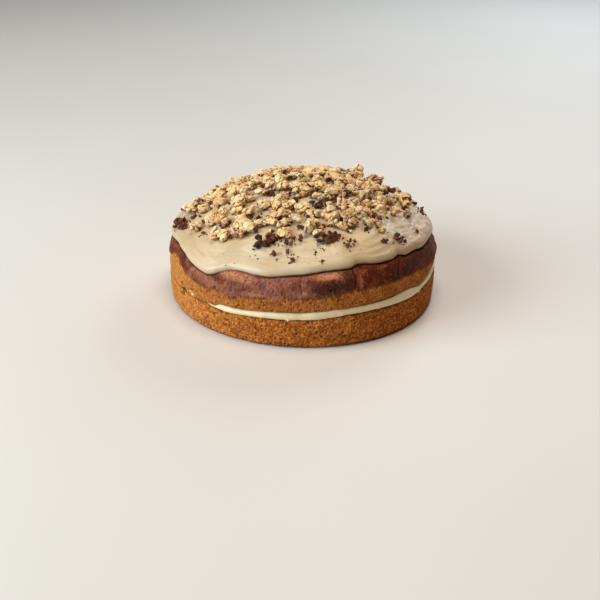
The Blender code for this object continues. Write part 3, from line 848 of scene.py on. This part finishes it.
def crumb_shape(name, seed, detail):
    """One crumb of dark cake, about 1 unit across: a craggy lump."""
    rng = random.Random(seed)
    bpy.ops.object.select_all(action="DESELECT")
    bpy.ops.mesh.primitive_ico_sphere_add(subdivisions=detail, radius=0.5)
    item = bpy.context.object
    item.name = name
    bpy.ops.object.shade_smooth()
    way = points_of(item) * MM * 2
    squash = np.array((1, rng.uniform(0.7, 0.95), rng.uniform(0.6, 0.85)))
    crag = rough_waves(way + seed, 0.9, 3, 81)
    points = way * (0.42 + 0.2 * crag)[:, None] * squash
    set_points(item, points / MM)
    # Deep marks the hollows, which the crumb finish paints in shade
    keep_values(item, deep=smooth(0.0, 0.35, hollows(item, 1)))
    return item


class Ground:
    """The finished icing, for setting pieces on."""

    def __init__(self, item):
        mesh = bmesh.new()
        mesh.from_mesh(item.data)
        self.tree = BVHTree.FromBMesh(mesh)
        mesh.free()

    def at(self, x, y):
        """Height in millimetres and outward direction at x, y in millimetres."""
        spot, normal, _, _ = self.tree.ray_cast(Vector((x * MM, y * MM, 0.2)), Vector((0, 0, -1)))
        if spot is None:
            return None, None
        return spot.z / MM, normal


def copy_of(shape, name, size, spot, normal, spin, lift, tallest, shade, stretch=1.0):
    """A copy of a shape with its own mesh, resting at a spot on the icing and no taller than this."""
    item = bpy.data.objects.new(name, shape.data.copy())
    bpy.context.scene.collection.objects.link(item)
    points = points_of(item) * MM * size
    matrix = np.array(normal.to_track_quat("Z", "Y").to_matrix() @ Euler(spin).to_matrix())
    points = points @ matrix.T
    up = np.array(normal)
    rise = points @ up
    tall = rise.max() - rise.min()
    share = min(stretch, tallest / tall)
    points = points + np.outer(rise * (share - 1) - rise.min() * share + lift, up) + np.array(spot)
    set_points(item, points)
    # Low marks each piece's underside, which the walnut finish paints in shade
    keep_values(item, shade=np.full(len(points), shade), low=smooth(0.6, 0.12, (rise - rise.min()) / tall))
    return item


def heap_spot(rng, reach=1.0):
    """A random spot in the heap, with its distance as a share of the heap's radius there."""
    azimuth = rng.uniform(-180, 180)
    limit = float(around(HEAP_RADIUS, azimuth)) * reach
    distance = limit * math.sqrt(rng.random())
    return spots(azimuth, distance, 0.0), distance / limit


def walnut_places(rng):
    """(x, y, length, height, layer) for each piece: the named ones, then others between them."""
    places = []
    crumbs = [(spots(azimuth, distance, 0.0), size) for azimuth, distance, size in NAMED_CRUMBS]

    def clear(x, y, length, layer, room):
        for u, v, other, _, level in places:
            if level == layer and math.hypot(x - u, y - v) < room * (length + other):
                return False
        return all(math.hypot(x - c[0], y - c[1]) > 0.45 * (length + size) for c, size in crumbs)

    for azimuth, distance, length, height in NAMED_WALNUTS:
        x, y, _ = spots(azimuth, distance, 0.0)
        places.append((x, y, length, height, 0))
    for layer, count, sizes, room, reach in HEAP_LAYERS:
        made = 0
        tries = 0
        while made < count and tries < MOST_TRIES:
            tries += 1
            (x, y, _), share = heap_spot(rng, reach)
            length = rng.uniform(*sizes)
            thin = float(smooth(0.6, 1.0, share)) * 0.5
            if rng.random() < thin or not clear(x, y, length, layer, room):
                continue
            places.append((x, y, length, rng.uniform(0.58, 0.8) * length, layer))
            made += 1
    return places


def make_walnuts(ground):
    rng = random.Random(SEED)
    large = [walnut_shape(f"walnut_large_{k}", 100 + k, 0.052) for k in range(12)]
    small = [walnut_shape(f"walnut_small_{k}", 200 + k, 0.075) for k in range(8)]
    pieces = []
    for number, (x, y, length, tallest, layer) in enumerate(walnut_places(rng)):
        height, normal = ground.at(x, y)
        if height is None:
            continue
        shape = rng.choice(large if length > SMALL_WALNUT else small)
        spin = (rng.uniform(-0.7, 0.7), rng.uniform(-0.5, 0.5), rng.uniform(0, math.tau))
        if rng.random() < 0.25:
            spin = (rng.uniform(-3, 3), rng.uniform(-1, 1), rng.uniform(0, math.tau))
        lift = rng.uniform(-0.9, -0.2)
        distance = math.hypot(x, y)
        if layer:
            tallest = min(tallest, UPPER_TALLEST)
            lift = rng.uniform(2.2, 3.0) if distance < UPPER_HEAP else rng.uniform(0.4, 1.2)
        named = number < len(NAMED_WALNUTS)
        if not named:
            room = float(around(HEAP_HEIGHT, math.degrees(math.atan2(x, -y))))
            tallest = min(tallest, room if distance > INNER_HEAP else INNER_TALLEST)
        pieces.append(copy_of(shape, f"walnut_{number}", length, (x, y, height), normal, spin, lift,
                              tallest - lift * (1 - layer), rng.random(), 1.35 if named else 1.0))
    item = joined("walnut_pieces", pieces)
    for shape in large + small:
        bpy.data.objects.remove(shape)
    return item


def make_crumbs(ground):
    """Dark crumbs in clumps on the icing, with finer specks round them."""
    rng = random.Random(SEED + 1)
    small, large = 2, 4
    shapes = [crumb_shape(f"crumb_shape_{k}", 300 + k, small if k < 2 else large) for k in range(6)]
    tiny = [crumb_shape(f"speck_shape_{k}", 400 + k, small) for k in range(3)]
    pieces = []

    def drop(shape, spot, size, lift):
        x, y = spot[:2]
        height, normal = ground.at(x, y)
        if height is None or math.hypot(x, y) > ICING_REACH:
            return
        spin = (rng.uniform(-0.5, 0.5), rng.uniform(-0.5, 0.5), rng.uniform(0, math.tau))
        pieces.append(copy_of(shape, f"crumb_{len(pieces)}", size, (x, y, height), normal, spin, lift, 9.0,
                              rng.random()))

    def beside(middle, out, turn):
        return middle[0] + out * math.cos(turn), middle[1] + out * math.sin(turn)

    for azimuth, distance, size in NAMED_CRUMBS:
        middle = spots(azimuth, distance, 0.0)
        lumps = 1 if size < 5 else (4 if size < 7 else 10)
        for k in range(lumps):
            out = 0 if k == 0 else size * rng.uniform(0.18, 0.46)
            turn = rng.uniform(0, math.tau)
            part = size * (0.95 if lumps == 1 else rng.uniform(0.36, 0.58))
            drop(rng.choice(shapes[2:]), beside(middle, out, turn), part,
                 -0.35 + (rng.uniform(0, 0.26) * size if k and lumps > 3 else 0))
        for _ in range(SPECKS_EACH):
            out = size * rng.uniform(0.55, 1.1)
            turn = rng.uniform(0, math.tau)
            drop(rng.choice(tiny), beside(middle, out, turn), rng.uniform(0.7, 1.7), -0.15)
    for _ in range(HEAP_CRUMBS):
        spot, _ = heap_spot(rng)
        drop(rng.choice(shapes[:2]), spot, rng.uniform(2.0, 4.8), rng.uniform(-0.3, 1.7))
    for _ in range(LOOSE_SPECKS):
        azimuth = rng.uniform(-180, 180)
        distance = ICING_REACH * math.sqrt(rng.uniform(0.02, 1))
        drop(rng.choice(tiny), spots(azimuth, distance, 0.0), rng.uniform(0.35, 0.9), -0.1)
    item = joined("dark_cake_crumbs", pieces)
    for shape in shapes + tiny:
        bpy.data.objects.remove(shape)
    return item


# ---------------------------------------------------------------- materials

MIX_FACTOR, MIX_FIRST, MIX_SECOND, MIX_RESULT = 0, 6, 7, 2


def srgb(red, green, blue):
    """A colour as read off a swatch, made linear."""
    return tuple(((c / 255 + 0.055) / 1.055) ** 2.4 if c > 10 else c / 255 / 12.92
                 for c in (red, green, blue))


def soft_inside(weight, radius):
    """Settings for light that goes a little way in."""
    return {"Subsurface Weight": weight, "Subsurface Radius": radius, "Subsurface Scale": 1.0}


class Nodes:
    """Short words for building a node tree that reads object coordinates."""

    def __init__(self, tree):
        self.tree = tree
        self.place = self.add("ShaderNodeTexCoord").outputs["Object"]

    def add(self, kind, **settings):
        node = self.tree.nodes.new(kind)
        for name, value in settings.items():
            setattr(node, name, value)
        return node

    def feed(self, socket, value):
        """Links a socket to another, or sets it to a value."""
        if isinstance(value, bpy.types.NodeSocket):
            self.tree.links.new(value, socket)
        else:
            socket.default_value = value

    def value(self, name, share=1.0):
        """A number stored on the mesh, or a share of it."""
        stored = self.add("ShaderNodeAttribute", attribute_name=name).outputs["Fac"]
        return stored if share == 1.0 else self.times(stored, share)

    def noise(self, scale, detail=3.0, rough=0.55, place=None):
        node = self.add("ShaderNodeTexNoise")
        self.feed(node.inputs["Scale"], scale)
        self.feed(node.inputs["Detail"], detail)
        self.feed(node.inputs["Roughness"], rough)
        self.feed(node.inputs["Vector"], place or self.place)
        return node.outputs["Fac"]

    def cells(self, scale):
        """Distance to the middle of each cell, and a number for each cell."""
        node = self.add("ShaderNodeTexVoronoi", feature="F1")
        self.feed(node.inputs["Vector"], self.place)
        self.feed(node.inputs["Scale"], scale)
        split = self.add("ShaderNodeSeparateColor")
        self.feed(split.inputs[0], node.outputs["Color"])
        return node.outputs["Distance"], split.outputs[0]

    def ramp(self, factor, *stops):
        """Numbers or linear colours along a factor, as (position, value)."""
        node = self.add("ShaderNodeValToRGB")
        ramp = node.color_ramp
        while len(ramp.elements) < len(stops):
            ramp.elements.new(0.5)
        for element, (position, colour) in zip(ramp.elements, stops):
            element.position = position
            element.color = (*colour, 1) if isinstance(colour, tuple) else (colour, colour, colour, 1)
        self.feed(node.inputs["Fac"], factor)
        return node.outputs["Color"]

    def tones(self, factor, *stops):
        """Swatch colours along a factor, as (position, red, green, blue)."""
        return self.ramp(factor, *((position, srgb(*swatch)) for position, *swatch in stops))

    def mix(self, factor, first, second):
        """From the first colour to the second, which is a socket or a swatch colour, as the factor rises."""
        node = self.add("ShaderNodeMix", data_type="RGBA")
        self.feed(node.inputs[MIX_FACTOR], factor)
        self.feed(node.inputs[MIX_FIRST], first)
        self.feed(node.inputs[MIX_SECOND], (*srgb(*second), 1) if isinstance(second, tuple) else second)
        return node.outputs[MIX_RESULT]

    def math(self, operation, first, second, clamp=False):
        node = self.add("ShaderNodeMath", operation=operation, use_clamp=clamp)
        self.feed(node.inputs[0], first)
        self.feed(node.inputs[1], second)
        return node.outputs[0]

    def times(self, first, second):
        return self.math("MULTIPLY", first, second)

    def plus(self, first, second, clamp=False):
        return self.math("ADD", first, second, clamp)

    def minus(self, first, second, clamp=False):
        return self.math("SUBTRACT", first, second, clamp)


class Finish(Nodes):
    """A new named material with its shader."""

    def __init__(self, name):
        self.material = bpy.data.materials.new(name)
        self.material.use_nodes = True
        super().__init__(self.material.node_tree)
        self.shader = self.tree.nodes["Principled BSDF"]

    def crumb(self, group, scale, pore):
        """The outputs of the shared crumb group: pores, grains and height."""
        node = self.add("ShaderNodeGroup", node_tree=group)
        node.inputs["Scale"].default_value = scale
        node.inputs["Pore Size"].default_value = pore
        return node.outputs["Pores"], node.outputs["Grains"], node.outputs["Height"]

    def relief(self, height, strength, distance):
        node = self.add("ShaderNodeBump")
        node.inputs["Strength"].default_value = strength
        node.inputs["Distance"].default_value = distance
        self.feed(node.inputs["Height"], height)
        self.feed(self.shader.inputs["Normal"], node.outputs["Normal"])

    def done(self, colour, settings):
        """Joins the colour to the shader, sets the rest and gives the material."""
        for name, value in {"Base Color": colour, **settings}.items():
            self.feed(self.shader.inputs[name], value)
        return self.material


def crumb_grain_group():
    """Cake crumb: pores and loose grains. Gives a pore mask, a grain mask and a height."""
    tree = bpy.data.node_groups.new("crumb_grain", "ShaderNodeTree")
    for name in ("Scale", "Pore Size"):
        tree.interface.new_socket(name, in_out="INPUT", socket_type="NodeSocketFloat")
    for name in ("Pores", "Grains", "Height"):
        tree.interface.new_socket(name, in_out="OUTPUT", socket_type="NodeSocketFloat")
    build = Nodes(tree)
    given = build.add("NodeGroupInput").outputs
    result = build.add("NodeGroupOutput").inputs
    distance, pick_number = build.cells(given["Scale"])
    near = build.math("DIVIDE", distance, given["Pore Size"])
    picked = build.math("GREATER_THAN", pick_number, 0.4)
    pore = build.times(build.minus(1.0, near, clamp=True), picked)
    soft = build.ramp(build.noise(build.times(given["Scale"], 1.25), 5.0, 0.75), (0.36, 0.0), (0.64, 1.0))
    bit_distance, bit_tone = build.cells(build.times(given["Scale"], 1.5))
    grain = build.plus(build.times(soft, 0.55), build.times(bit_tone, 0.45))
    grain = build.ramp(grain, (0.2, 0.0), (0.8, 1.0))
    height = build.minus(grain, build.times(bit_distance, 0.5))
    height = build.minus(height, build.times(pore, 1.6))
    build.feed(result["Pores"], pore)
    build.feed(result["Grains"], grain)
    build.feed(result["Height"], height)
    return tree


def golden_crumb(build, grains, tones, broad, patch, patchy, fair, pale):
    """The colour of baked crumb: grains, then broad lumps, then patches, and painted light towards the pale
    colour on the left side.
    """
    colour = build.tones(grains, *((place, *tone) for place, tone in zip((0.0, 0.5, 1.0), tones)))
    lumps = build.tones(build.value("grain"), (0.3, *broad[0]), (0.7, *broad[1]))
    colour = build.mix(0.3, colour, lumps)
    patches = build.tones(build.noise(75, 4, 0.6), (0.34, *patch[0]), (0.66, *patch[1]))
    colour = build.mix(patchy, colour, patches)
    return build.mix(build.value("fair", fair), colour, pale)


def sponge_material(group):
    build = Finish("golden_sponge")
    pores, grains, height = build.crumb(group, 520, 0.46)
    # The last two values set the painted light on the left side and its pale colour
    colour = golden_crumb(build, grains, ((106, 38, 6), (200, 104, 36), (255, 178, 100)),
                          ((142, 64, 16), (222, 134, 60)), ((138, 62, 18), (232, 146, 64)), 0.28,
                          0.4, (240, 166, 86))
    # Painted shade in the pores
    dark = build.math("MAXIMUM", build.times(pores, 0.8), build.value("pore"), clamp=True)
    colour = build.mix(build.times(dark, 0.95), colour, (66, 22, 2))
    # Painted shade along the foot, where the sponge meets the floor
    colour = build.mix(build.value("edge", 0.6), colour, (96, 52, 26))
    # Painted shade inside the torn holes
    colour = build.mix(build.value("torn", 0.85), colour, (84, 40, 12))
    build.relief(height, 0.8, 0.0007)
    return build.done(colour, {"Roughness": 0.85, "Specular IOR Level": 0.06})


def crust_material(group):
    build = Finish("browned_crust")
    _, grains, grain_height = build.crumb(group, 560, 0.4)
    crust = build.value("crust")
    tone = build.value("tone")
    bloom = build.value("bloom")
    # The last two values set the painted light on the left side and its pale colour
    golden = golden_crumb(build, grains, ((128, 64, 22), (181, 105, 44), (226, 152, 80)),
                          ((138, 68, 20), (204, 126, 56)), ((134, 66, 20), (222, 144, 66)), 0.3,
                          0.3, (232, 160, 88))
    # Painted shade in the pores of the golden side
    golden = build.mix(build.value("pore", 0.85), golden, (88, 36, 6))
    # Fine streaks run up and down the crust
    upright = build.add("ShaderNodeMapping", vector_type="POINT")
    upright.inputs["Scale"].default_value = (1.0, 1.0, 0.3)
    build.feed(upright.inputs["Vector"], build.place)
    streak = build.noise(520, 4, 0.7, upright.outputs["Vector"])
    mottle = build.mix(0.5, build.noise(150, 5, 0.7), streak)
    brown = build.tones(mottle, (0.36, 62, 18, 4), (0.5, 104, 38, 12), (0.66, 150, 72, 32))
    # Mauve and dusty where it blooms, with ashen patches; at the front the mauve is partly a painted sheen
    # of sky light
    dusty = build.tones(mottle, (0.36, 100, 54, 44), (0.5, 150, 90, 72), (0.66, 190, 126, 104))
    drift = build.ramp(build.noise(95, 4, 0.65), (0.38, -0.55), (0.62, 0.45))
    brown = build.mix(build.plus(bloom, build.times(drift, bloom), clamp=True), brown, dusty)
    ashen = build.ramp(build.noise(130, 3, 0.6), (0.5, 0.0), (0.66, 0.5))
    brown = build.mix(build.times(ashen, bloom), brown, (132, 94, 98))
    # Toasted and charred places, painted highlights beside creases and painted shade on the right side; then
    # flecks and sparks
    toasted_and_painted_light = build.ramp(tone, (0.5, 0.0), (1.0, 1.0))
    charred_and_painted_shade = build.ramp(tone, (0.0, 1.0), (0.5, 0.0))
    toasted = build.tones(mottle, (0.38, 184, 108, 70), (0.62, 226, 162, 122))
    charred = build.tones(mottle, (0.36, 34, 14, 8), (0.64, 92, 46, 30))
    brown = build.mix(toasted_and_painted_light, brown, toasted)
    brown = build.mix(build.times(charred_and_painted_shade, 0.95), brown, charred)
    fleck = build.ramp(build.noise(760, 2, 0.6), (0.56, 0.0), (0.66, 0.75))
    brown = build.mix(fleck, brown, (66, 24, 10))
    spark = build.ramp(build.noise(900, 2, 0.6), (0.62, 0.0), (0.7, 0.45))
    brown = build.mix(spark, brown, (206, 136, 92))
    colour = build.mix(crust, golden, brown)
    # Painted shade in a broken line where the crust ends and overhangs the golden side
    painted_lip_shade = build.times(build.times(crust, build.minus(1.0, crust)), 2.6)
    painted_lip_shade = build.times(painted_lip_shade, build.ramp(build.noise(120, 3, 0.6), (0.42, 0.0), (0.58, 1.0)))
    colour = build.mix(painted_lip_shade, colour, (84, 32, 14))
    # Painted shade in the creases, in the torn holes and in the gap under the icing's edge
    colour = build.mix(build.value("crease", 0.85), colour, (44, 16, 6))
    colour = build.mix(build.value("cream"), colour, (240, 214, 166))
    fine = build.plus(build.noise(700, 4), streak)
    build.relief(build.plus(build.times(fine, 0.8), build.times(grain_height, 0.5)), 0.8, 0.0008)
    rough = build.minus(0.85, build.times(crust, 0.3))
    return build.done(colour, {"Roughness": rough, "Specular IOR Level": 0.1})


def filling_material():
    build = Finish("cream_filling")
    colour = build.tones(build.noise(90, 3), (0.3, 232, 208, 162), (0.7, 246, 228, 188))
    build.relief(build.noise(420, 3), 0.25, 0.0005)
    return build.done(colour, {"Roughness": 0.5, **soft_inside(0.2, (0.004, 0.003, 0.0015))})


def icing_material():
    build = Finish("caramel_icing")
    cloud = build.noise(38, 4, 0.6)
    colour = build.tones(cloud, (0.3, 197, 174, 138), (0.5, 206, 186, 154), (0.72, 214, 197, 169))
    colour = build.mix(build.value("tan"), colour, (172, 136, 88))
    colour = build.mix(build.value("pale"), colour, (226, 201, 156))
    # Dry icing on the right, paler and cooler: partly its own colour, partly a painted sheen
    colour = build.mix(build.value("dry", 0.65), colour, (222, 214, 202))
    speck = build.ramp(build.noise(950, 1), (0.76, 0.0), (0.82, 0.35))
    colour = build.mix(speck, colour, (150, 104, 60))
    rough = build.ramp(build.noise(70, 3), (0.35, 0.34), (0.7, 0.5))
    rough = build.plus(rough, build.value("dry", 0.2))
    height = build.plus(build.times(build.noise(260, 3), 0.7), build.noise(800, 2))
    build.relief(height, 0.34, 0.0005)
    return build.done(colour, {"Roughness": rough, **soft_inside(0.15, (0.005, 0.0035, 0.0018))})


def walnut_material():
    build = Finish("walnut")
    shade = build.value("shade")
    grain = build.noise(360, 3, 0.6)
    skin = build.tones(shade, (0.0, 224, 172, 90), (0.2, 230, 194, 130), (0.36, 232, 206, 160),
                       (0.5, 214, 176, 132), (0.63, 220, 160, 96), (0.77, 198, 130, 60),
                       (0.89, 158, 90, 40), (1.0, 110, 56, 26))
    skin = build.mix(build.ramp(grain, (0.5, 0.0), (0.66, 0.56)), skin, (172, 106, 58))
    meat = build.tones(grain, (0.36, 246, 226, 180), (0.5, 234, 202, 144), (0.64, 206, 156, 92))
    meat = build.mix(build.times(shade, 0.6), meat, (216, 162, 88))
    colour = build.mix(build.value("flesh"), skin, meat)
    # Painted highlight on the ridges
    colour = build.mix(build.value("high", 0.5), colour, (250, 230, 190))
    # Painted shade on the underside of each piece
    colour = build.mix(build.value("low", 0.74), colour, (136, 74, 22))
    # Painted shade in the creases and valleys
    colour = build.mix(build.value("deep", 0.88), colour, (92, 46, 12))
    build.relief(build.noise(760, 3), 0.5, 0.0006)
    return build.done(colour, {"Roughness": 0.55, "Specular IOR Level": 0.25,
                               **soft_inside(0.06, (0.003, 0.002, 0.001))})


def dark_crumb_material(group):
    build = Finish("dark_cake_crumb")
    pores, _, height = build.crumb(group, 1100, 0.45)
    colour = build.tones(build.value("shade"), (0.0, 62, 28, 14), (0.5, 94, 46, 22), (1.0, 136, 74, 38))
    # Painted shade in the pores and hollows
    dark = build.math("MAXIMUM", build.times(pores, 0.8), build.value("deep"), clamp=True)
    colour = build.mix(build.times(dark, 0.8), colour, (46, 18, 10))
    build.relief(height, 0.6, 0.0006)
    return build.done(colour, {"Roughness": 0.85})


# ---------------------------------------------------------------- setting

def studio_floor():
    bpy.ops.object.select_all(action="DESELECT")
    bpy.ops.mesh.primitive_plane_add(size=8)
    floor = bpy.context.object
    floor.name = "studio_floor"
    floor.location.z = cad_box[0][2]
    build = Finish("pale_floor")
    colour = build.ramp(build.noise(3, 2), (0.3, (0.68, 0.67, 0.65)), (0.7, (0.71, 0.70, 0.68)))
    floor.data.materials.append(build.done(colour, {"Roughness": 0.6}))


def softbox(name, spot, size, power, colour):
    """A soft light that faces the cake."""
    light = bpy.data.lights.new(name, "AREA")
    light.shape = "RECTANGLE"
    light.size, light.size_y = size
    light.energy = power
    light.color = colour
    item = bpy.data.objects.new(name, light)
    bpy.context.scene.collection.objects.link(item)
    item.location = spot
    item.rotation_euler = (Vector((0, 0, 0.04)) - Vector(spot)).to_track_quat("-Z", "Y").to_euler()


def lights():
    world = bpy.data.worlds.new("soft_room")
    bpy.context.scene.world = world
    world.use_nodes = True
    room = world.node_tree.nodes["Background"].inputs
    room["Color"].default_value = (1.0, 0.82, 0.62, 1)
    room["Strength"].default_value = 0.06
    softbox("window_left", (-1.335, -0.585, 0.72), (1.3, 1.1), 33.2, (0.82, 0.94, 1.0))
    softbox("window_back", (0.68, 1.25, 0.85), (0.9, 0.7), 11.2, (0.80, 0.91, 1.0))
    softbox("room_lamp", (0.05, -0.1, 1.5), (0.7, 0.7), 13.1, (1.0, 0.79, 0.58))


def camera():
    """The view: a little above the cake, square to its front, tilted a touch."""
    distance = 0.8
    height_angle = math.radians(25.31)
    aim_down = height_angle + math.radians(0.765)
    aim_left = math.radians(0.147)
    roll = math.radians(1.06)
    lens = bpy.data.cameras.new("view")
    lens.sensor_width = 36
    lens.lens = 61.8
    item = bpy.data.objects.new("view", lens)
    bpy.context.scene.collection.objects.link(item)
    item.location = (0, -distance * math.cos(height_angle), distance * math.sin(height_angle))
    turn = Euler((math.pi / 2 - aim_down, 0, aim_left)).to_matrix()
    item.rotation_euler = (turn @ Matrix.Rotation(roll, 3, "Z")).to_euler()
    bpy.context.scene.camera = item


def dress(item, node, material):
    item.data.materials.clear()
    item.data.materials.append(material)
    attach(item, "root")
    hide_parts(node)


def main():
    camera()
    studio_floor()
    lights()
    grain = crumb_grain_group()
    dress(make_lower_sponge(), "lower_sponge", sponge_material(grain))
    dress(make_filling(), "cream_filling", filling_material())
    dress(make_upper_sponge(), "upper_sponge", crust_material(grain))
    icing = make_icing()
    dress(icing, "icing", icing_material())
    ground = Ground(icing)
    dress(make_walnuts(ground), "walnut_topping", walnut_material())
    dress(make_crumbs(ground), "icing", dark_crumb_material(grain))
    scene = bpy.context.scene
    scene.view_settings.view_transform = "Standard"
    scene.view_settings.look = "None"


main()
